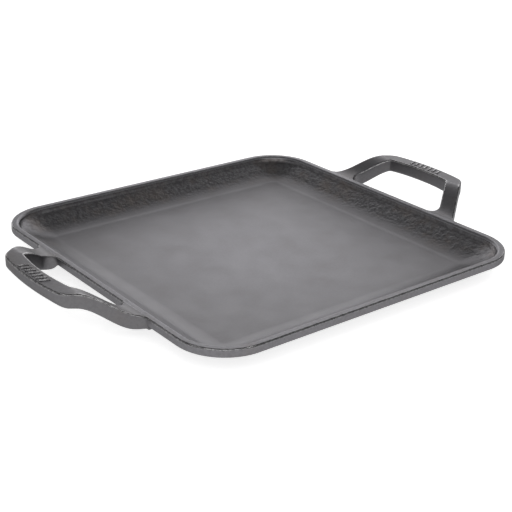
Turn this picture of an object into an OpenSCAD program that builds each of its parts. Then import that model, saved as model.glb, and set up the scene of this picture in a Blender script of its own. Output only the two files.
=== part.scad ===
// Square cast iron griddle skillet: a shallow flared pan with two raised loop handles.
// It is one iron casting, drawn as the regions that a founder names, meeting face to face.
// Millimetres. +Z is up, the underside is z = 0, and the handles lie along X.

/* [Pan] */
// Width across the rim, both ways
pan_side = 280; // [230:1:340]
// Radius of the rim's corners, seen from above
corner_r = 36; // [31:1:60]
// Height from the underside to the rim's top
pan_h = 18.6; // [15.6:0.1:22]
// Thickness of the cooking floor
floor_t = 4.6; // [4:0.1:6]
// Thickness of the side wall
wall_t = 4.6; // [4:0.1:5.5]
// Slope of the side wall, from the horizontal
wall_slope = 28; // [26:1:45]
// Radius where the cooking floor runs up into the wall
cove_r = 34; // [8:0.5:36]
// Radius where the underside turns up into the wall
foot_r = 22; // [8:0.5:24]

/* [Rim] */
// Width of the rim's top
rim_w = 5.6; // [5:0.1:7.5]
// Height of the upright band round the rim
rim_h = 5.5; // [4.5:0.1:7]
// Radius of the rim's outer edge
rim_outer_r = 1.2; // [0.6:0.1:2]
// Radius of the rim's inner edge
rim_inner_r = 2.4; // [0.6:0.1:2.5]
// Draft of the rim's inner face, from the upright
rim_draft = 15; // [5:1:25]

/* [Handles] */
// How far a handle stands out from the pan's side
handle_reach = 45.5; // [40:0.5:60]
// Width across the arms where they leave the pan
root_span = 136.5; // [125:0.5:150]
// Width across a handle's outer corners
grip_span = 77; // [66:0.5:90]
// How far the grip bows out past its outer corners
grip_bow = 3.7; // [2:0.1:6]
// How far the finger gap bows out past its corners
gap_bow = 3; // [0.4:0.1:4]
// Width of an arm
arm_w = 12.6; // [9:0.1:14]
// Width of the grip
grip_w = 12.2; // [10:0.1:15]
// How far the grip's top stands above the rim
grip_rise = 15; // [8:0.5:22]
// Depth of the arms where they leave the pan
root_t = 9.8; // [7.5:0.1:11]
// Depth of the grip
grip_t = 10.2; // [8:0.1:12]
// How much farther out the underside starts to rise than the top
under_lag = 4; // [1:0.5:8]
// Radius of a handle's outer corners
corner_out_r = 14; // [5:0.5:16]
// Radius of the finger gap's corners
corner_in_r = 3; // [2:0.5:6]
// Radius outside the arms where they leave the pan
root_out_r = 8; // [4:0.5:12]
// Radius inside the finger gap where the arms leave the pan
root_in_r = 6; // [2:0.5:8]

/* [Grip ribs] */
// Number of ribs on each grip
rib_count = 7; // [3:1:9]
// Distance from rib to rib
rib_pitch = 4.8; // [4:0.1:6]
// Length of a rib
rib_len = 7.5; // [5:0.1:9]
// Width of a rib
rib_w = 1.6; // [1:0.1:2.5]
// Height of a rib above the grip
rib_h = 0.7; // [0.4:0.1:1]
// Slant of the ribs across the grip
rib_slant = 20; // [0:1:30]

/* [Hidden] */
$fn = 64;
ARC_STEPS = 8;                // flats in each rounded corner of an outline
RAMP_STEPS = 14;              // flats in each rise of a handle
PAST = 20;                    // how far a cutting outline runs past what it cuts
LEAST_FLAT = 0.5;             // least flat left beside a cove or a foot

iron = [0.23, 0.23, 0.235];
smooth_iron = [0.3, 0.3, 0.305];

// --- Profile through the pan's side, outwards from the centre of a corner's arcs ---
half = pan_side / 2;
core = half - corner_r;                   // where the corner arcs' centres stand
band_z = pan_h - rim_h;                   // underside of the rim's band
rim_in_x = corner_r - rim_w;
// The rim's inner face runs down to the wall's inner side
rim_drop = (rim_h + rim_w * tan(wall_slope) - wall_t / cos(wall_slope))
    / (1 - tan(rim_draft) * tan(wall_slope));
rim_foot = [rim_in_x - rim_drop * tan(rim_draft), pan_h - rim_drop];
// Where the wall's two sides would meet the floor's two sides, if nothing were rounded
inner_meet = rim_foot.x - (rim_foot.y - floor_t) / tan(wall_slope);
outer_meet = corner_r - band_z / tan(wall_slope);
// The cove and the foot are no larger than the corner leaves room for
cove = min(cove_r, (inner_meet - LEAST_FLAT) / tan(wall_slope / 2));
floor_x = inner_meet - cove * tan(wall_slope / 2);
foot = min(foot_r, (outer_meet - floor_x - LEAST_FLAT) / tan(wall_slope / 2));
foot_x = outer_meet - foot * tan(wall_slope / 2);

// Points along an arc about a centre, from one angle to another
function arc(centre, r, from, to) =
    [for (i = [0:ARC_STEPS]) let (a = from + (to - from) * i / ARC_STEPS)
        centre + r * [cos(a), sin(a)]];

// The rim's rounded outer edge, for an outline whose side stands at x
function rim_edge(x) = arc([x - rim_outer_r, pan_h - rim_outer_r], rim_outer_r, 0, 90);

// A profile carried round the pan: four straight sides and four quarter turns
module round_the_pan() {
    for (quarter = [0:3])
        rotate(90 * quarter) translate([core, core, 0]) {
            rotate_extrude(angle = 90) children();
            rotate([90, 0, 0]) linear_extrude(2 * core) children();
        }
}

module cooking_floor() {
    color(smooth_iron) linear_extrude(floor_t) {
        square([2 * core, 2 * (core + floor_x)], center = true);
        square([2 * (core + floor_x), 2 * core], center = true);
        for (x = [-core, core], y = [-core, core])
            translate([x, y]) circle(floor_x);
    }
}

module side_wall() {
    color(iron) round_the_pan() polygon(concat(
        [[floor_x, 0]],
        arc([foot_x, foot], foot, -90, wall_slope - 90),
        [[corner_r, band_z], rim_foot],
        arc([floor_x, floor_t + cove], cove, wall_slope - 90, -90)));
}

module rim() {
    color(iron) round_the_pan() polygon(concat(
        [[corner_r, band_z]],
        rim_edge(corner_r),
        arc([rim_in_x + rim_inner_r * tan(45 + rim_draft / 2), pan_h - rim_inner_r],
            rim_inner_r, 90, 180 - rim_draft),
        [rim_foot]));
}

// --- A handle seen from above, right-hand side, y > 0 ---
root_y = root_span / 2;
reach_x = half + handle_reach;
outer_corner = [reach_x - grip_bow, grip_span / 2];
arm = (outer_corner - [half, root_y]) / norm(outer_corner - [half, root_y]);
gap_root_y = root_y - arm_w / arm.x;
gap_end_x = reach_x - grip_w;             // the finger gap's end, at y = 0
gap_corner_x = gap_end_x - gap_bow;
gap_corner = [gap_corner_x, gap_root_y + (gap_corner_x - half) * arm.y / arm.x];
seat_x = half - PAST;                     // the outline runs in under the rim

// The corner q of an outline, between p and s, rounded to radius r
function rounded_corner(p, q, s, r) =
    let (to_p = (p - q) / norm(p - q),
         to_s = (s - q) / norm(s - q),
         half_angle = acos(to_p * to_s) / 2,
         centre = q + (to_p + to_s) / norm(to_p + to_s) * r / sin(half_angle),
         first = q + to_p * r / tan(half_angle) - centre,
         side = sign(to_s.x * to_p.y - to_s.y * to_p.x))
    arc(centre, r, atan2(first.y, first.x),
        atan2(first.y, first.x) + side * (180 - 2 * half_angle));

// A bowed side that bulges by bow from its corner at the angle a to its middle at 0
function bow_radius(corner, bow) = (corner.y * corner.y + bow * bow) / (2 * bow);
function on_bow(corner, bow, a) =
    let (r = bow_radius(corner, bow))
    [corner.x + bow - r + r * cos(a), r * sin(a)];

// Half an edge of the loop: in under the rim, out along the arm and to the grip's middle
function half_edge(y, corner, bow, away, root_r, end_r) =
    let (bow_r = bow_radius(corner, bow),
         aim = on_bow(corner, bow, 0.7 * asin(corner.y / bow_r)),
         fillet = rounded_corner([half, y + away], [half, y], corner, root_r),
         bend = rounded_corner([half, y], corner, aim, end_r),
         rest = asin(bend[ARC_STEPS].y / bow_r))
    concat([[seat_x, fillet[0].y]], fillet, bend,
           [for (i = [1:ARC_STEPS]) on_bow(corner, bow, rest * (1 - i / ARC_STEPS))]);

function across(points) = [for (p = points) [p.x, -p.y]];
function reversed(points) = [for (i = [len(points) - 1:-1:0]) points[i]];
function less_first(points) = [for (i = [1:len(points) - 1]) points[i]];

module handle_plan() {
    outer = half_edge(root_y, outer_corner, grip_bow, PAST, root_out_r, corner_out_r);
    inner = half_edge(gap_root_y, gap_corner, gap_bow, -PAST, root_in_r, corner_in_r);
    polygon(concat(outer, less_first(reversed(across(outer))),
                   across(inner), less_first(reversed(inner))));
}

// --- A handle seen from its side ---
function ease(t) = t * t * (3 - 2 * t);   // level at both ends
function rise(x0, z0, x1, z1) =
    [for (i = [0:RAMP_STEPS]) let (t = i / RAMP_STEPS)
        [x0 + (x1 - x0) * t, z0 + (z1 - z0) * ease(t)]];

module handle_side() {
    grip_top = pan_h + grip_rise;
    grip_under = grip_top - grip_t;
    root_under = pan_h - root_t;
    seat = [half - (band_z - root_under) / tan(wall_slope), root_under];
    polygon(concat(
        rise(half, pan_h, gap_end_x, grip_top),
        [[reach_x + PAST, grip_top], [reach_x + PAST, grip_under]],
        reversed(rise(half + under_lag, root_under, gap_end_x, grip_under)),
        [seat, [half, band_z]],
        rim_edge(half)));
}

module handle() {
    color(iron) intersection() {
        linear_extrude(pan_h + grip_rise + PAST) handle_plan();
        translate([0, root_span, 0]) rotate([90, 0, 0])
            linear_extrude(2 * root_span) handle_side();
    }
}

module left_handle() { mirror([1, 0, 0]) handle(); }
module right_handle() { handle(); }

// --- Ribs on a grip, seated on its top ---
module grip_ribs() {
    grip_mid_x = reach_x - grip_w / 2;
    color(smooth_iron)
        for (i = [0:rib_count - 1])
            translate([grip_mid_x, (i - (rib_count - 1) / 2) * rib_pitch, pan_h + grip_rise])
                rotate(rib_slant)
                    translate([-rib_len / 2, -rib_w / 2, 0]) cube([rib_len, rib_w, rib_h]);
}

module left_grip_ribs() { mirror([1, 0, 0]) grip_ribs(); }
module right_grip_ribs() { grip_ribs(); }

cooking_floor();
side_wall();
rim();
left_handle();
right_handle();
left_grip_ribs();
right_grip_ribs();
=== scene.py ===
import math

import bpy
from bpy.props import FloatProperty, FloatVectorProperty, IntProperty, PointerProperty
from bpy.types import Operator, Panel, PropertyGroup
from mathutils import Matrix, Vector


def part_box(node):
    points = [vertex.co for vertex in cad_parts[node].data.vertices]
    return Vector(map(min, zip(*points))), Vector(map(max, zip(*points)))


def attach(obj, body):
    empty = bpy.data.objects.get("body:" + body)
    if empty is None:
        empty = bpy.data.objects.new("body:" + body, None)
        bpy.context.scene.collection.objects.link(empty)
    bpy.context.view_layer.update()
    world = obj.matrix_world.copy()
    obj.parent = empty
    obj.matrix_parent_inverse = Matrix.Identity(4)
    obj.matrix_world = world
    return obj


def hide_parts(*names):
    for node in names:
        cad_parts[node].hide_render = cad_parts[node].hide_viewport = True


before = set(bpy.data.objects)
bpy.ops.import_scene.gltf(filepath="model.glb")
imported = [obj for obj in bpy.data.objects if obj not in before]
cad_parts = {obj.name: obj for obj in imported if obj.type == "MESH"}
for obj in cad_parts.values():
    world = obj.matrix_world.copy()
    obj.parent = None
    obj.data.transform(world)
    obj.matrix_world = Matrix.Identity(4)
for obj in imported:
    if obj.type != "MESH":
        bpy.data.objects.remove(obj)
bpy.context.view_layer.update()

bl_info = {
    "name": "Square Cast Iron Skillet",
    "version": (1, 0, 0),
    "blender": (4, 5, 0),
    "location": "3D View > Sidebar > Skillet",
    "description": "Models a seasoned square cast iron skillet with two loop handles, and its studio",
    "category": "Object",
}

RIM_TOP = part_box("rim")[1]
FLOOR_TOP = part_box("cooking_floor")[1]
GRIP_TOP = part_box("right_handle")[1]
RIB_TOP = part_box("right_grip_ribs")[1]

RIB_COUNT = 7
BEND_STEPS = 8                # flats in each bend of a handle, seen from above
ARM_STEPS = 16                # stretches along a straight arm
GRIP_STEPS = 10               # stretches along half of a bowed grip
ROOT_RUN = 0.02               # how far a root's fillet is aimed along the pan's side
BOW_AIM = 0.7                 # where a corner's bend is aimed on the bow, as a share of it
PALM_RUN_IN = 0.004           # how far before the corners the palm's rounding starts
ACROSS_BAR = (0.06, 0.35, 0.65, 0.94)  # lengthwise edges across a bar's top and underside
SEAT_DEPTH = 0.003            # how far a handle's root runs in under the rim
SEAT_COVER = 0.002            # least iron above a seated root
STRIP = 0.08                  # share of a flat face beside each of its rounded edges
SAME_PLACE = 1e-6             # points nearer than this are one point

# Where the finish and its painted light and shade change, in metres from the pan's middle or above
# its underside
CAST_PATCH = 0.02             # size of the patches of thicker and thinner oil
# From the near corner to the far one: the near walls get less grain and a painted highlight, the far
# cove painted shade
DRESSED_SIDES = (-0.08, 0.02)
# Painted shade: the floor and wall darken towards the two far sides between these distances
PAINTED_SHADE_FAR_SIDES = (0.045, 0.105)
# Painted highlight: the lighter middle of the floor fades out between these distances
PAINTED_HIGHLIGHT_FADE = (0.02, 0.13)
# Painted shade in the far cove, between these heights
PAINTED_COVE_SHADE_FROM = (0.0046, 0.005)
PAINTED_COVE_SHADE_TO = (0.0098, 0.0068)

# Where the finish changes, in the noise that draws the grain and the patches
PITS = (0.55, 0.42)
# Noise range of the bright spots on up-facing edges, partly wear and partly a painted glint
WEAR_AND_GLINT_GRAIN = (0.4, 0.6)
THIN_OIL = (0.5, 0.7)
DULL_OIL = (0.3, 0.7)
THIN_OIL_SHARE = 0.4          # how much brown shows where the oil is thinnest
GLOSS_SPREAD = 0.03           # how far the roughness strays either way

# Wear and its painted glint start at the first and are full at the second
FACING_UP = (0.0, 0.3)        # upward part of the surface's normal
PROUD_EDGE = (0.508, 0.52)    # Cycles' pointiness, which is 0.5 on a flat face

# Each softbox: name, azimuth and elevation (degrees), width, height (metres), brightness
SOFTBOXES = (
    ("Low softbox, left", 85, 9, 0.86, 0.36, 3.9),
    ("Low softbox, middle", 52, 9, 0.86, 0.36, 3.7),
    ("Low softbox, right", 19, 9, 0.86, 0.36, 0.6),
    ("Back softbox, left", 85, 22, 0.86, 0.36, 0.6),
    ("Back softbox, middle", 52, 22, 0.86, 0.36, 2.3),
    ("Back softbox, right", 19, 22, 0.86, 0.36, 1.9),
    ("High softbox", 48, 36, 1.1, 0.36, 2.5),
    ("Side softbox, left", 135, 22, 1.1, 0.9, 0.4),
    ("Side softbox, right", -35, 22, 1.1, 0.9, 0.25),
    ("Front softbox", 232, 36, 2.0, 1.0, 1.5),
    ("Rim lamp, left", 160, 56, 0.22, 0.22, 6.0),
    ("Rim lamp, right", 300, 56, 0.22, 0.22, 6.0),
)
SOFTBOX_DISTANCE = 1.55
TABLE_SIZE = 12.0


def length(name, description, default):
    """A size in metres, as Blender's sidebar shows it."""
    return FloatProperty(name=name, description=description, default=default,
                         unit="LENGTH", precision=4, min=0.0)


def angle(name, description, degrees):
    return FloatProperty(name=name, description=description, default=math.radians(degrees),
                         subtype="ANGLE")


def share(name, description, default):
    return FloatProperty(name=name, description=description, default=default,
                         subtype="FACTOR", min=0.0, max=1.0)


def linear(hex_colour):
    """Turns an sRGB hex colour into the linear values that shaders take."""
    channels = [int(hex_colour[i:i + 2], 16) / 255 for i in (1, 3, 5)]
    return tuple(c / 12.92 if c <= 0.04045 else ((c + 0.055) / 1.055) ** 2.4
                 for c in channels) + (1.0,)


def colour(name, description, hex_colour):
    return FloatVectorProperty(name=name, description=description, subtype="COLOR", size=4,
                               min=0.0, max=1.0, default=linear(hex_colour))


# --- Sizes and finishes that a user would change ---

class PanSizes(PropertyGroup):
    """The pan's floor, flared wall and rim."""
    half: length("Half width", "From the pan's middle to the rim's side", RIM_TOP.x)
    height: length("Height", "From the underside to the rim's top", RIM_TOP.z)
    floor_half: length("Half floor", "From the pan's middle to the floor's edge", FLOOR_TOP.x)
    floor_t: length("Floor thickness", "Thickness of the cooking floor", FLOOR_TOP.z)
    wall_t: length("Wall thickness", "Thickness of the flared wall", 0.0046)
    corner_r: length("Corner radius", "Radius of the rim's corners, seen from above", 0.036)
    slope: angle("Wall slope", "Slope of the flared wall, from the horizontal", 28.0)
    cove_r: length("Cove radius", "Radius where the floor runs up into the wall", 0.034)
    foot_r: length("Foot radius", "Radius where the underside turns up into the wall", 0.022)
    rim_w: length("Rim width", "Width of the rim's flat top", 0.0056)
    rim_h: length("Band height", "Height of the upright band round the rim", 0.0055)
    rim_draft: angle("Rim draft", "Lean of the rim's inner face, from the upright", 15.0)
    edge_out_r: length("Outer edge radius", "Radius of the rim's outer top edge", 0.0012)
    edge_in_r: length("Inner edge radius", "Radius of the rim's inner top edge", 0.0024)
    edge_low_r: length("Lower edge radius", "Radius under the rim's band", 0.0009)
    throat_r: length("Throat radius", "Radius where the rim's inner face meets the wall", 0.0042)
    corner_steps: IntProperty(name="Corner steps", default=28, min=8,
                              description="Flats in a quarter turn of the pan")


class HandleSizes(PropertyGroup):
    """A loop handle: two rising arms and a bowed grip."""
    reach: length("Reach", "How far a handle stands out from the pan's side",
                  GRIP_TOP.x - RIM_TOP.x)
    rise: length("Rise", "How far the grip's top stands above the rim", GRIP_TOP.z - RIM_TOP.z)
    root_span: length("Root span", "Width across the arms where they leave the pan", 0.1365)
    grip_span: length("Grip span", "Width across a handle's outer corners", 0.077)
    grip_bow: length("Grip bow", "How far the grip bows out past its corners", 0.0037)
    gap_bow: length("Gap bow", "How far the finger gap bows out past its corners", 0.003)
    arm_w: length("Arm width", "Width of an arm, across it", 0.0126)
    grip_w: length("Grip width", "Width of the grip bar", 0.0122)
    root_t: length("Root depth", "Depth of the arms where they leave the pan", 0.0098)
    grip_t: length("Grip depth", "Depth of the grip bar", 0.0102)
    under_lag: length("Underside lag", "How much later the underside rises than the top", 0.004)
    corner_out_r: length("Outer corner radius", "Radius of the outer corners", 0.014)
    corner_in_r: length("Gap corner radius", "Radius of the finger gap's corners", 0.003)
    root_out_r: length("Outer root radius", "Radius outside the arms at the pan", 0.008)
    root_in_r: length("Inner root radius", "Radius inside the finger gap at the pan", 0.006)
    top_edge_r: length("Top edge radius", "Rounding along the top edges", 0.0012)
    low_edge_r: length("Low edge radius", "Rounding along the lower edges", 0.0013)
    palm_edge_r: length("Palm edge radius", "Rounding under the grip, on its outer side", 0.005)
    root_turn_r: length("Root turn radius", "Upturn under the arms at the pan", 0.0035)
    outer_turn: share("Outer upturn", "Share of the upturn on an arm's outer side", 0.35)


class RibSizes(PropertyGroup):
    """The small slanted ribs on each grip."""
    pitch: length("Pitch", "Distance from rib to rib", 0.0048)
    length: length("Length", "Length of a rib", 0.0075)
    width: length("Width", "Width of a rib", 0.0016)
    height: length("Height", "Height of a rib above the grip", RIB_TOP.z - GRIP_TOP.z)
    slant: angle("Slant", "Slant of the ribs across the grip", 20.0)
    edge_r: length("Edge radius", "Rounding of a rib's top edges", 0.0005)


class IronFinish(PropertyGroup):
    """Baked-on oil over iron: near black, with a dull sheen."""
    # Plain skin, away from the painted highlight in the floor's middle
    skin: colour("Seasoned skin", "Colour where the oil has built up", "#6D6C6E")
    # Painted highlight: the lighter colour of the floor's middle, the near walls above the cove and
    # the rim
    skin_painted_highlight: colour("Used skin", "Colour in the middle of the floor, where tools rub",
                      "#78777A")
    # Also the colour of the painted shade towards the far sides and in the far cove
    skin_pits_and_shade: colour("Skin in the hollows", "Colour between the grains", "#5F5E60")
    skin_warm: colour("Thin seasoning", "Brown cast where the oil is thin", "#776C64")
    # Partly wear and partly a painted glint on the edges that face up
    worn_and_glint: colour("Worn grain tops", "Colour where the grain's tops are rubbed", "#9A999A")
    metal: share("Metal share", "How much of the iron shows through the oil", 0.95)
    cast_rough: share("Cast roughness", "Roughness of the as-cast skin", 0.4)
    floor_rough: share("Floor roughness", "Roughness of the smoothed floor", 0.41)
    edge_rough: share("Edge roughness", "Roughness of the rubbed edges", 0.22)
    grazing: share("Grazing sheen", "Brightness of the sheen at a flat angle", 0.45)


class StudioSetup(PropertyGroup):
    """Camera, table and soft lights."""
    azimuth: angle("Azimuth", "Turn of the view round the pan; 0 looks along +Y", -38.51)
    elevation: angle("Elevation", "Height of the view above the horizon", 23.65)
    roll: angle("Roll", "Turn of the camera about its own axis", 1.21)
    place: FloatVectorProperty(name="Camera place", description="Where the camera stands",
                               subtype="TRANSLATION", unit="LENGTH",
                               default=(-0.4742, -0.5993, 0.3157 + RIM_TOP.z))
    lens: FloatProperty(name="Lens", description="Focal length in millimetres", default=78.6)
    table: colour("Table", "Colour of the opal table", "#E6E6E6")
    glow: FloatProperty(name="Table glow", description="Light through the opal table",
                        default=0.73, min=0.0)
    ambient: FloatProperty(name="Room light", description="Light from the room all round",
                           default=0.165, min=0.0)


# --- Modelling helpers ---

def deselect_all():
    if bpy.context.object and bpy.context.object.mode != "OBJECT":
        bpy.ops.object.mode_set(mode="OBJECT")
    bpy.ops.object.select_all(action="DESELECT")


def edit(part):
    bpy.context.view_layer.objects.active = part
    bpy.ops.object.mode_set(mode="EDIT")


def leave_edit():
    bpy.ops.object.mode_set(mode="OBJECT")


def select_where(part, wanted):
    """In edit mode, selects the vertices whose places pass the test."""
    bpy.ops.mesh.select_mode(type="VERT")
    bpy.ops.mesh.select_all(action="DESELECT")
    leave_edit()
    for vertex in part.data.vertices:
        vertex.select = wanted(vertex.co)
    bpy.ops.object.mode_set(mode="EDIT")


def round_vertex(part, place, tangent, steps):
    """Rounds one corner of a flat outline, its arc starting at tangent from the corner."""
    select_where(part, lambda co: (co - place).length < SAME_PLACE)
    bpy.ops.mesh.bevel(offset_type="OFFSET", offset=tangent, segments=steps,
                       affect="VERTICES", clamp_overlap=False)


def flat_section(name, corners):
    """A flat face in the XZ plane. Each corner is x, z, radius and the flats in its arc."""
    deselect_all()
    bpy.ops.mesh.primitive_circle_add(vertices=len(corners), fill_type="NGON")
    part = bpy.context.object
    part.name = part.data.name = name
    places = [Vector((x, 0, z)) for x, z, radius, steps in corners]
    for vertex, place in zip(part.data.vertices, places):
        vertex.co = place
    edit(part)
    for i, (x, z, radius, steps) in enumerate(corners):
        if radius:
            to_last = places[i - 1] - places[i]
            to_next = places[(i + 1) % len(places)] - places[i]
            tangent = radius / math.tan(to_last.angle(to_next) / 2)
            round_vertex(part, places[i], tangent, steps)
    leave_edit()
    return part


def carry_round_the_pan(part, pan):
    """Draws a section out along the four straight sides and turns it through the corners."""
    core = pan.half - pan.corner_r
    edit(part)
    bpy.ops.mesh.select_all(action="SELECT")
    bpy.ops.transform.translate(value=(0, -core, 0))
    for quarter in range(4):
        turn = Matrix.Rotation(quarter * math.pi / 2, 3, "Z")
        bpy.ops.mesh.extrude_region_move(
            TRANSFORM_OT_translate={"value": turn @ Vector((0, 2 * core, 0))})
        bpy.ops.mesh.spin(steps=pan.corner_steps, angle=-math.pi / 2,
                          center=turn @ Vector((core, core, 0)), axis=(0, 0, 1))
    # The first and last section coincide: both caps go, and the ring closes
    bpy.ops.mesh.select_mode(type="FACE")
    bpy.ops.mesh.select_all(action="DESELECT")
    bpy.ops.mesh.select_face_by_sides(number=4, type="GREATER")
    bpy.ops.mesh.delete(type="ONLY_FACE")
    close_up(part)


def close_up(part):
    """Merges doubled vertices and turns every face outwards."""
    if part.mode != "EDIT":
        edit(part)
    bpy.ops.mesh.select_mode(type="VERT")
    bpy.ops.mesh.select_all(action="SELECT")
    bpy.ops.mesh.remove_doubles(threshold=SAME_PLACE)
    bpy.ops.mesh.normals_make_consistent(inside=False)
    leave_edit()


def smooth(part, sharpest=math.radians(40)):
    """Smooth shading that keeps flat faces flat and seam edges sharp."""
    deselect_all()
    part.select_set(True)
    bpy.context.view_layer.objects.active = part
    bpy.ops.object.shade_smooth_by_angle(angle=sharpest)
    even = part.modifiers.new("Even shading", "WEIGHTED_NORMAL")
    even.keep_sharp = True
    even.weight = 100
    bpy.ops.object.modifier_apply(modifier=even.name)


def hand_over(part, nodes, material):
    """Gives a finished piece its material and its place in the frame."""
    part.data.materials.clear()
    part.data.materials.append(material)
    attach(part, "root")
    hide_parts(*nodes)


# --- Materials ---

def add_node(tree, kind, settings=None, **inputs):
    """Adds one node. A value given as a socket is linked, and any other is set."""
    node = tree.nodes.new(kind)
    for name, value in (settings or {}).items():
        setattr(node, name, value)
    for name, value in inputs.items():
        key = int(name[1:]) if name[1:].isdigit() else name.replace("_", " ")
        if isinstance(value, bpy.types.NodeSocket):
            tree.links.new(value, node.inputs[key])
        else:
            node.inputs[key].default_value = value
    return node


def ramp(tree, value, start, end, settings=None, **to):
    """Runs from 0 to 1, or between To_Min and To_Max, as a value goes from start to end."""
    return add_node(tree, "ShaderNodeMapRange", settings, Value=value, From_Min=start,
                    From_Max=end, **to).outputs["Result"]


def combine(tree, operation, first, second):
    settings = {"operation": operation, "use_clamp": operation == "SUBTRACT"}
    return add_node(tree, "ShaderNodeMath", settings, _0=first, _1=second).outputs[0]


def blend(tree, share_of_second, first, second):
    """Mixes two colours."""
    return add_node(tree, "ShaderNodeMix", {"data_type": "RGBA"}, _0=share_of_second,
                    _6=first, _7=second).outputs[2]


def noise(tree, place, size, detail):
    return add_node(tree, "ShaderNodeTexNoise", Vector=place, Scale=1 / size, Detail=detail,
                    Roughness=0.6).outputs["Fac"]


def seasoned_iron(name, roughness, grain, depth, mottle, rises=(-1.0, 0.0), rub=0.0,
                  dressed=1.0, wiped=0.0, settled=0.0, soot=0.0):
    """Grey iron poured in sand, then coated with baked-on oil.

    The sand leaves a pebbled skin, and the oil turns it near black with a dull sheen that
    is thin and brownish in places. The tops of the edges are brighter and smoother, partly
    rubbed by handling and partly a painted glint. Real sand grain is about 0.3 mm, too fine
    to show from here, so it is drawn as coarse as its clusters, 1 to 3 mm across. The
    pebbling fades in between the two heights in rises, and dressed is how much of it is left
    towards the corner that is handled most; above the cove there the walls take the lighter
    colour of the floor's middle, a painted highlight. That lighter middle fades to the plain
    skin, and a share given for the piece lifts all of it to the lighter colour. Painted shade
    darkens the two far sides and the far cove, each by a darkness given for the piece.
    """
    finish = bpy.context.scene.skillet_finish
    material = bpy.data.materials.new(name)
    material.use_nodes = True
    tree = material.node_tree
    tree.nodes.clear()
    place = add_node(tree, "ShaderNodeTexCoord").outputs["Object"]
    along = add_node(tree, "ShaderNodeSeparateXYZ", Vector=place).outputs
    pebbles = noise(tree, place, grain, 2.0)
    patches = noise(tree, place, CAST_PATCH, 4.0)

    # How far the cast grain shows
    above_cove = ramp(tree, along["Z"], *rises)
    to_far_corner = combine(tree, "ADD", along["X"], along["Y"])
    undressed = ramp(tree, to_far_corner, *DRESSED_SIDES, To_Min=dressed)
    rough_cast = combine(tree, "MULTIPLY", above_cove, undressed)

    # Dark: oil in the pits between the grains, and painted shade towards the two far sides and in the
    # far cove
    pits = ramp(tree, pebbles, *PITS, To_Max=mottle)
    shown_pits = combine(tree, "MULTIPLY", pits, rough_cast)
    to_far_side = combine(tree, "MAXIMUM", along["X"], along["Y"])
    far_painted_shade = ramp(tree, to_far_side, *PAINTED_SHADE_FAR_SIDES, {"interpolation_type": "SMOOTHSTEP"},
                   To_Max=settled)
    # Painted shade in the far cove
    cove_start = ramp(tree, along["Z"], *PAINTED_COVE_SHADE_FROM, To_Max=soot)
    cove_end = ramp(tree, along["Z"], *PAINTED_COVE_SHADE_TO)
    painted_cove_shade = combine(tree, "MULTIPLY", cove_start, undressed)
    painted_shade = combine(tree, "MAXIMUM", far_painted_shade, painted_cove_shade)
    low_painted_shade = combine(tree, "MULTIPLY", painted_shade, cove_end)
    pits_and_painted_shade = combine(tree, "MAXIMUM", shown_pits, low_painted_shade)

    # Skin: lighter in the floor's middle and on the near walls above the cove, a painted highlight,
    # plain outside it, and brownish where the oil is thin
    from_middle = add_node(tree, "ShaderNodeVectorMath", {"operation": "LENGTH"},
                           _0=place).outputs["Value"]
    # Painted highlight: lighter towards the floor's middle, and over a whole piece by the given share
    spread = ramp(tree, from_middle, *PAINTED_HIGHLIGHT_FADE, To_Max=1 - wiped)
    near_walls_painted_light = combine(tree, "SUBTRACT", above_cove, rough_cast)
    outside_painted_highlight = combine(tree, "SUBTRACT", spread, near_walls_painted_light)
    oiled = blend(tree, outside_painted_highlight, tuple(finish.skin_painted_highlight), tuple(finish.skin))
    body = blend(tree, pits_and_painted_shade, oiled, tuple(finish.skin_pits_and_shade))
    thinning = ramp(tree, patches, *THIN_OIL, To_Max=THIN_OIL_SHARE * mottle)
    thin = combine(tree, "MULTIPLY", thinning, rough_cast)
    tinted = blend(tree, thin, body, tuple(finish.skin_warm))

    # Wear and painted glint: bright spots on the edges that face up
    shape = add_node(tree, "ShaderNodeNewGeometry").outputs
    facing = add_node(tree, "ShaderNodeSeparateXYZ", Vector=shape["Normal"]).outputs
    upward = ramp(tree, facing["Z"], *FACING_UP, To_Max=rub)
    edges = ramp(tree, shape["Pointiness"], *PROUD_EDGE)
    proud = combine(tree, "MULTIPLY", edges, upward)
    wear_and_glint_spots = ramp(tree, pebbles, *WEAR_AND_GLINT_GRAIN)
    rubbed = combine(tree, "MULTIPLY", proud, wear_and_glint_spots)
    final = blend(tree, rubbed, tinted, tuple(finish.worn_and_glint))

    # Gloss and grain
    sheen = ramp(tree, patches, *DULL_OIL, To_Min=roughness - GLOSS_SPREAD,
                 To_Max=roughness + GLOSS_SPREAD)
    gloss = add_node(tree, "ShaderNodeMix", _0=proud, _2=sheen, _3=finish.edge_rough)
    relief = add_node(tree, "ShaderNodeBump", Height=pebbles, Strength=rough_cast,
                      Distance=depth).outputs["Normal"]
    shader = add_node(tree, "ShaderNodeBsdfPrincipled", Base_Color=final,
                      Roughness=gloss.outputs[0], Metallic=finish.metal,
                      Specular_Tint=(*[finish.grazing] * 3, 1), Normal=relief)
    add_node(tree, "ShaderNodeOutputMaterial", Surface=shader.outputs["BSDF"])
    return material


def material_once(name, **values):
    return bpy.data.materials.get(name) or seasoned_iron(name, **values)


def pebbled_skin():
    """The wall as the sand mould left it, smoother low down where the cove was dressed, with painted
    shade towards the far sides and in the far cove, and a painted highlight on the near walls above
    the cove.
    """
    finish = bpy.context.scene.skillet_finish
    return material_once("Pebbled seasoned iron", roughness=finish.cast_rough, grain=0.003,
                         depth=0.0005, mottle=1.0, rises=(0.0047, 0.0082), dressed=0.1,
                         settled=0.5, soot=1.0)


def handled_skin():
    """The handles, whose grain was dressed back and whose edges are rubbed in use, partly real wear
    and partly a painted glint.
    """
    finish = bpy.context.scene.skillet_finish
    return material_once("Handled seasoned iron", roughness=finish.cast_rough, grain=0.002,
                         depth=0.00004, mottle=0.3, rub=1.0)


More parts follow.
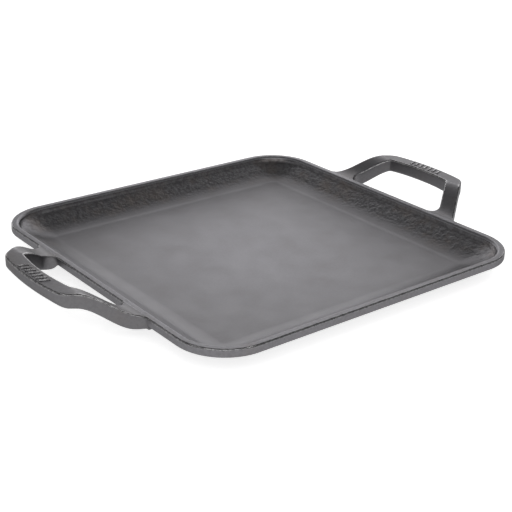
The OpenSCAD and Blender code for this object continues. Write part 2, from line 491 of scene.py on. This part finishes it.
def wiped_skin():
    """The rim, dressed and rubbed like the handles, its edges partly a painted glint, and painted
    lighter all over in the colour of the floor's middle, a painted highlight.
    """
    finish = bpy.context.scene.skillet_finish
    return material_once("Seasoned iron, painted lighter", roughness=finish.cast_rough, grain=0.002,
                         depth=0.00004, mottle=0.3, rub=1.0, wiped=0.9)


def smoothed_skin():
    """The cooking floor, ground smoother before it was oiled, with a painted highlight in its middle
    and painted shade towards the far sides.
    """
    finish = bpy.context.scene.skillet_finish
    return material_once("Smoothed seasoned iron", roughness=finish.floor_rough,
                         grain=0.0016, depth=0.00001, mottle=0.1, settled=0.5)


# --- Shapes of the casting ---

def side_profile(pan):
    """Named points of a cut through the pan's side, as x and z."""
    tan_slope = math.tan(pan.slope)
    lean = math.tan(pan.rim_draft)
    band_z = pan.height - pan.rim_h
    rim_in = pan.half - pan.rim_w
    drop = ((pan.rim_h + pan.rim_w * tan_slope - pan.wall_t / math.cos(pan.slope))
            / (1 - lean * tan_slope))
    throat = (rim_in - drop * lean, pan.height - drop)
    rounding = pan.edge_in_r * math.tan((math.pi / 2 - pan.rim_draft) / 2) * math.cos(pan.rim_draft)
    fillet = (pan.throat_r * math.tan((math.pi / 2 - pan.rim_draft - pan.slope) / 2)
              * math.cos(pan.rim_draft))
    seam_drop = (rounding + drop - fillet) / 2
    below = 2 * pan.edge_low_r
    return {
        "band_foot": (pan.half, band_z),
        "outer_seam": (pan.half - below, band_z - below * tan_slope),
        "outer_meet": (pan.half - band_z / tan_slope, 0.0),
        "floor_under": (pan.floor_half, 0.0),
        "floor_edge": (pan.floor_half, pan.floor_t),
        "inner_meet": (throat[0] - (throat[1] - pan.floor_t) / tan_slope, pan.floor_t),
        "throat": throat,
        "inner_seam": (rim_in - seam_drop * lean, pan.height - seam_drop),
        "rim_inner": (rim_in, pan.height),
        "rim_outer": (pan.half, pan.height),
    }


def rounded_corner(before, corner, after, radius, steps):
    """Points of the arc that rounds the corner between two straight stretches."""
    to_before = (before - corner).normalized()
    to_after = (after - corner).normalized()
    half_angle = to_before.angle(to_after) / 2
    centre = corner + (to_before + to_after).normalized() * radius / math.sin(half_angle)
    first = corner + to_before * radius / math.tan(half_angle) - centre
    turn = math.pi - 2 * half_angle
    side = -1 if to_before.cross(to_after) > 0 else 1
    return [centre + Matrix.Rotation(side * turn * i / steps, 2) @ first
            for i in range(steps + 1)]


def handle_edge(pan, root_y, corner, bow, away, root_r, end_r):
    """Half an edge of the loop from above: root fillet, arm, corner and bowed grip."""
    root = Vector((pan.half, root_y))
    bow_r = (corner.y ** 2 + bow ** 2) / (2 * bow)
    spread = math.asin(corner.y / bow_r)

    def on_bow(a):
        return Vector((corner.x + bow - bow_r * (1 - math.cos(a)), bow_r * math.sin(a)))

    fillet = rounded_corner(root + Vector((0, away)), root, corner, root_r, BEND_STEPS)
    bend = rounded_corner(root, corner, on_bow(spread * BOW_AIM), end_r, BEND_STEPS)
    rest = math.asin(bend[-1].y / bow_r)
    grip = [on_bow(rest * (1 - i / GRIP_STEPS)) for i in range(1, GRIP_STEPS + 1)]
    arm = [fillet[-1].lerp(bend[0], i / ARM_STEPS) for i in range(1, ARM_STEPS)]
    return fillet + arm + bend + grip


def outward(edge, side):
    """The direction out of the metal at each point of an edge."""
    ways = []
    for i, point in enumerate(edge):
        along = edge[min(i + 1, len(edge) - 1)] - edge[max(i - 1, 0)]
        ways.append(Vector((-along.y, along.x)).normalized() * side)
    ways[0] = Vector((1.0, 0.0))
    ways[-1] = Vector((side, 0.0))
    return ways


def ease(t):
    t = min(max(t, 0.0), 1.0)
    return t * t * (3 - 2 * t)


def handle_heights(pan, handle):
    """The heights of a handle's top and underside, at a distance x from the middle."""
    end_x = pan.half + handle.reach - handle.grip_w
    start_x = pan.half + handle.under_lag
    root_low = pan.height - handle.root_t
    grip_low = pan.height + handle.rise - handle.grip_t

    def top(x):
        return pan.height + handle.rise * ease((x - pan.half) / (end_x - pan.half))

    def under(x, inward=0.0):
        turn = min(max((pan.half + handle.root_turn_r - x) / handle.root_turn_r, 0.0), 1.0)
        upturn = (handle.root_t - pan.rim_h) * (1 - math.sqrt(1 - turn * turn))
        upturn *= handle.outer_turn + (1 - handle.outer_turn) * inward
        rising = ease((x - start_x) / (end_x - start_x))
        return root_low + upturn + (grip_low - root_low) * rising

    return top, under


def rounded_edge(point, way, radius, height, up, steps=5):
    """Points over one long edge of the bar, from its side face to its top or bottom face."""
    for i in range(steps + 1):
        a = math.pi / 2 * i / steps
        place = point - way * radius * (1 - math.cos(a))
        yield Vector((place.x, place.y, height(place.x) - up * radius * (1 - math.sin(a))))


def bar_section(outer, inner, outer_way, inner_way, top, under, radii):
    """One closed section of the bar, as a list of places."""
    top_r, low_r, palm_r = radii
    over_out = list(rounded_edge(outer, outer_way, top_r, top, 1))
    over_in = list(rounded_edge(inner, inner_way, top_r, top, 1))
    low_out = list(rounded_edge(outer, outer_way, palm_r, under, -1))
    low_in = list(rounded_edge(inner, inner_way, low_r, lambda x: under(x, 1.0), -1))
    over, below = [], []
    for part_way in ACROSS_BAR:
        place = over_out[-1].lerp(over_in[-1], part_way)
        over.append(Vector((place.x, place.y, top(place.x))))
        place = low_in[-1].lerp(low_out[-1], part_way)
        below.append(Vector((place.x, place.y, under(place.x, 1 - part_way))))
    # A narrow strip beside each rounded edge keeps the flat faces flat
    inside = [over_in[0].lerp(low_in[0], part_way) for part_way in (STRIP, 1 - STRIP)]
    outside = [low_out[0].lerp(over_out[0], part_way) for part_way in (STRIP, 1 - STRIP)]
    return (over_out + over + over_in[::-1] + inside + low_in + below + low_out[::-1]
            + outside)


def seat_section(pan, root_section):
    """The root's section pushed in under the rim, where the casting hides it."""
    places = []
    for place in root_section:
        below_band = max(pan.height - pan.rim_h - place.z, 0.0)
        x = pan.half - SEAT_DEPTH - below_band / math.tan(pan.slope)
        places.append(Vector((x, place.y, min(place.z, pan.height - SEAT_COVER))))
    return places


def model_handle(name):
    """One half of the loop is rolled from a sheet of quads, then mirrored across the pan."""
    scene = bpy.context.scene
    pan, handle = scene.skillet_pan, scene.skillet_handle
    reach_x = pan.half + handle.reach
    root_y = handle.root_span / 2
    outer_corner = Vector((reach_x - handle.grip_bow, handle.grip_span / 2))
    arm = (outer_corner - Vector((pan.half, root_y))).normalized()
    gap_root_y = root_y - handle.arm_w / arm.x
    gap_x = reach_x - handle.grip_w - handle.gap_bow
    gap_corner = Vector((gap_x, gap_root_y + (gap_x - pan.half) * arm.y / arm.x))
    outer = handle_edge(pan, root_y, outer_corner, handle.grip_bow, ROOT_RUN,
                        handle.root_out_r, handle.corner_out_r)
    inner = handle_edge(pan, gap_root_y, gap_corner, handle.gap_bow, -ROOT_RUN,
                        handle.root_in_r, handle.corner_in_r)
    outer_ways, inner_ways = outward(outer, 1), outward(inner, -1)
    top, under = handle_heights(pan, handle)
    sections = []
    for o, i, o_way, i_way in zip(outer, inner, outer_ways, inner_ways):
        on_grip = ease((o.x - outer_corner.x + PALM_RUN_IN) / (handle.grip_bow + PALM_RUN_IN))
        palm_r = handle.low_edge_r + (handle.palm_edge_r - handle.low_edge_r) * on_grip
        sections.append(bar_section(o, i, o_way, i_way, top, under,
                                    (handle.top_edge_r, handle.low_edge_r, palm_r)))
    sections.insert(0, seat_section(pan, sections[0]))
    around = len(sections[0])
    deselect_all()
    bpy.ops.mesh.primitive_grid_add(x_subdivisions=around, y_subdivisions=len(sections) - 1)
    part = bpy.context.object
    part.name = part.data.name = name
    for index, vertex in enumerate(part.data.vertices):
        row, column = divmod(index, around + 1)
        vertex.co = sections[row][column % around]
    close_up(part)
    edit(part)
    select_where(part, lambda co: co.x < pan.half - 0.8 * SEAT_DEPTH)
    bpy.ops.mesh.edge_face_add()
    leave_edit()
    across = part.modifiers.new("Other half", "MIRROR")
    across.use_axis = (False, True, False)
    across.merge_threshold = 1e-5
    bpy.ops.object.modifier_apply(modifier=across.name)
    close_up(part)
    return part


def mirrored_copy(part, name):
    """The same piece for the pan's other side, with a mesh of its own."""
    twin = part.copy()
    twin.data = part.data.copy()
    twin.name = twin.data.name = name
    bpy.context.collection.objects.link(twin)
    deselect_all()
    twin.select_set(True)
    edit(twin)
    bpy.ops.mesh.select_all(action="SELECT")
    bpy.ops.transform.resize(value=(-1, 1, 1), center_override=(0, 0, 0))
    close_up(twin)
    return twin


# --- Operators, one for each piece or pair of pieces ---

class SKILLET_OT_cooking_floor(Operator):
    """Model the flat cooking floor with the pan's flat underside below it"""
    bl_idname = "skillet.cooking_floor"
    bl_label = "Cooking Floor"

    def execute(self, context):
        pan = context.scene.skillet_pan
        corner_r = pan.floor_half - (pan.half - pan.corner_r)
        deselect_all()
        bpy.ops.mesh.primitive_plane_add(size=2 * pan.floor_half, location=(0, 0, 0))
        part = context.object
        part.name = part.data.name = "cooking_floor_plate"
        edit(part)
        bpy.ops.mesh.select_all(action="SELECT")
        bpy.ops.mesh.bevel(offset_type="OFFSET", offset=corner_r,
                           segments=pan.corner_steps, affect="VERTICES")
        bpy.ops.mesh.select_all(action="SELECT")
        bpy.ops.mesh.extrude_region_move(
            TRANSFORM_OT_translate={"value": (0, 0, pan.floor_t)})
        close_up(part)
        smooth(part)
        hand_over(part, ["cooking_floor"], smoothed_skin())
        return {"FINISHED"}


class SKILLET_OT_side_wall(Operator):
    """Model the flared wall, with its cove inside and its rounded foot outside"""
    bl_idname = "skillet.side_wall"
    bl_label = "Side Wall"

    def execute(self, context):
        pan = context.scene.skillet_pan
        at = side_profile(pan)
        part = flat_section("flared_wall", [
            (*at["outer_seam"], 0, 0),
            (*at["outer_meet"], pan.foot_r, 10),
            (*at["floor_under"], 0, 0),
            (*at["floor_edge"], 0, 0),
            (*at["inner_meet"], pan.cove_r, 16),
            (*at["throat"], pan.throat_r, 8),
            (*at["inner_seam"], 0, 0)])
        carry_round_the_pan(part, pan)
        smooth(part)
        hand_over(part, ["side_wall"], pebbled_skin())
        return {"FINISHED"}


class SKILLET_OT_rim(Operator):
    """Model the flat-topped rim with its upright band and rounded edges"""
    bl_idname = "skillet.rim"
    bl_label = "Rim"

    def execute(self, context):
        pan = context.scene.skillet_pan
        at = side_profile(pan)
        # A narrow strip beside each rounded edge keeps the flat faces flat
        strip = 1.5 * pan.edge_out_r
        part = flat_section("rounded_rim", [
            (*at["outer_seam"], 0, 0),
            (*at["inner_seam"], 0, 0),
            (*at["rim_inner"], pan.edge_in_r, 10),
            (at["rim_inner"][0] + 0.92 * pan.edge_in_r, pan.height, 0, 0),
            (pan.half - strip, pan.height, 0, 0),
            (*at["rim_outer"], pan.edge_out_r, 6),
            (pan.half, pan.height - strip, 0, 0),
            (pan.half, at["band_foot"][1] + strip, 0, 0),
            (*at["band_foot"], pan.edge_low_r, 4)])
        carry_round_the_pan(part, pan)
        smooth(part)
        hand_over(part, ["rim"], wiped_skin())
        return {"FINISHED"}


class SKILLET_OT_handles(Operator):
    """Model the two loop handles, each with rising arms and a bowed grip"""
    bl_idname = "skillet.handles"
    bl_label = "Loop Handles"

    def execute(self, context):
        right = model_handle("right_loop_handle")
        left = mirrored_copy(right, "left_loop_handle")
        for part, node in ((right, "right_handle"), (left, "left_handle")):
            smooth(part)
            hand_over(part, [node], handled_skin())
        return {"FINISHED"}


class SKILLET_OT_grip_ribs(Operator):
    """Model the slanted ribs on top of each grip"""
    bl_idname = "skillet.grip_ribs"
    bl_label = "Grip Ribs"

    def execute(self, context):
        scene = context.scene
        pan, handle, ribs = scene.skillet_pan, scene.skillet_handle, scene.skillet_ribs
        middle_x = pan.half + handle.reach - handle.grip_w / 2
        grip_z = pan.height + handle.rise
        made = []
        for i in range(RIB_COUNT):
            deselect_all()
            y = (i - (RIB_COUNT - 1) / 2) * ribs.pitch
            bpy.ops.mesh.primitive_cube_add(
                size=1, location=(middle_x, y, grip_z + ribs.height / 2),
                rotation=(0, 0, ribs.slant), scale=(ribs.length, ribs.width, ribs.height))
            part = context.object
            bpy.ops.object.transform_apply(location=True, rotation=True, scale=True)
            edit(part)
            select_where(part, lambda co: co.z > grip_z + ribs.height / 2)
            bpy.ops.mesh.bevel(offset=ribs.edge_r, segments=4, affect="EDGES")
            leave_edit()
            made.append(part)
        deselect_all()
        for part in made:
            part.select_set(True)
        context.view_layer.objects.active = made[0]
        bpy.ops.object.join()
        right = context.object
        right.name = right.data.name = "right_rib_row"
        left = mirrored_copy(right, "left_rib_row")
        for part, node in ((right, "right_grip_ribs"), (left, "left_grip_ribs")):
            smooth(part)
            hand_over(part, [node], handled_skin())
        return {"FINISHED"}


class SKILLET_OT_studio(Operator):
    """Set up the pale table, the soft lights and the camera"""
    bl_idname = "skillet.studio"
    bl_label = "Studio"

    def execute(self, context):
        scene = context.scene
        studio = scene.skillet_studio
        scene.view_settings.view_transform = "Standard"
        self.lay_table(studio)
        for softbox in SOFTBOXES:
            self.hang_softbox(*softbox)
        scene.world = scene.world or bpy.data.worlds.new("Studio")
        scene.world.use_nodes = True
        background = scene.world.node_tree.nodes["Background"]
        background.inputs["Color"].default_value = (*[studio.ambient] * 3, 1)
        self.place_camera(scene, studio)
        return {"FINISHED"}

    def lay_table(self, studio):
        """A white opal acrylic table, lit softly from below."""
        deselect_all()
        bpy.ops.mesh.primitive_plane_add(size=TABLE_SIZE)
        table = bpy.context.object
        table.name = table.data.name = "studio_table"
        material = bpy.data.materials.new("Opal acrylic")
        material.use_nodes = True
        shader = material.node_tree.nodes["Principled BSDF"]
        shader.inputs["Base Color"].default_value = tuple(studio.table)
        shader.inputs["Roughness"].default_value = 0.9
        shader.inputs["Specular IOR Level"].default_value = 0.1
        shader.inputs["Emission Color"].default_value = (1, 1, 1, 1)
        shader.inputs["Emission Strength"].default_value = studio.glow
        table.data.materials.append(material)

    def hang_softbox(self, name, azimuth, elevation, width, height, brightness):
        """An area light that faces the pan. White seen in a mirror has brightness 1."""
        azimuth, elevation = math.radians(azimuth), math.radians(elevation)
        place = SOFTBOX_DISTANCE * Vector((math.cos(elevation) * math.cos(azimuth),
                                           math.cos(elevation) * math.sin(azimuth),
                                           math.sin(elevation)))
        bpy.ops.object.light_add(type="AREA", location=place)
        lamp = bpy.context.object
        lamp.name = name
        lamp.data.shape = "RECTANGLE"
        lamp.data.size, lamp.data.size_y = width, height
        lamp.data.energy = brightness * math.pi * width * height
        lamp.rotation_euler = place.to_track_quat("Z", "Y").to_euler()

    def place_camera(self, scene, studio):
        back = Vector((math.sin(studio.azimuth) * math.cos(studio.elevation),
                       -math.cos(studio.azimuth) * math.cos(studio.elevation),
                       math.sin(studio.elevation)))
        right = Vector((math.cos(studio.azimuth), math.sin(studio.azimuth), 0))
        upright = Matrix((right, back.cross(right), back)).transposed()
        bpy.ops.object.camera_add(location=studio.place)
        camera = bpy.context.object
        camera.name = "Studio camera"
        camera.rotation_euler = (upright @ Matrix.Rotation(studio.roll, 3, "Z")).to_euler()
        camera.data.lens = studio.lens
        camera.data.sensor_width = 36.0
        camera.data.clip_start, camera.data.clip_end = 0.01, 50.0
        scene.camera = camera


class SKILLET_PT_sidebar(Panel):
    """Lists the skillet's pieces and their sizes"""
    bl_idname = "SKILLET_PT_sidebar"
    bl_label = "Square Cast Iron Skillet"
    bl_space_type = "VIEW_3D"
    bl_region_type = "UI"
    bl_category = "Skillet"

    def draw(self, context):
        for operator in PIECES:
            self.layout.operator(operator.bl_idname)
        for name, group in SETTINGS.items():
            box = self.layout.box()
            box.label(text=group.__doc__)
            for key in group.__annotations__:
                box.prop(getattr(context.scene, name), key)


SETTINGS = {
    "skillet_pan": PanSizes,
    "skillet_handle": HandleSizes,
    "skillet_ribs": RibSizes,
    "skillet_finish": IronFinish,
    "skillet_studio": StudioSetup,
}
PIECES = (SKILLET_OT_studio, SKILLET_OT_cooking_floor, SKILLET_OT_side_wall, SKILLET_OT_rim,
          SKILLET_OT_handles, SKILLET_OT_grip_ribs)


def register():
    for cls in (*SETTINGS.values(), *PIECES, SKILLET_PT_sidebar):
        bpy.utils.register_class(cls)
    for name, group in SETTINGS.items():
        setattr(bpy.types.Scene, name, PointerProperty(type=group))


def unregister():
    for name in SETTINGS:
        delattr(bpy.types.Scene, name)
    for cls in reversed((*SETTINGS.values(), *PIECES, SKILLET_PT_sidebar)):
        bpy.utils.unregister_class(cls)


def main():
    register()
    bpy.ops.skillet.studio()
    bpy.ops.skillet.cooking_floor()
    bpy.ops.skillet.side_wall()
    bpy.ops.skillet.rim()
    bpy.ops.skillet.handles()
    bpy.ops.skillet.grip_ribs()


if __name__ == "__main__":
    main()
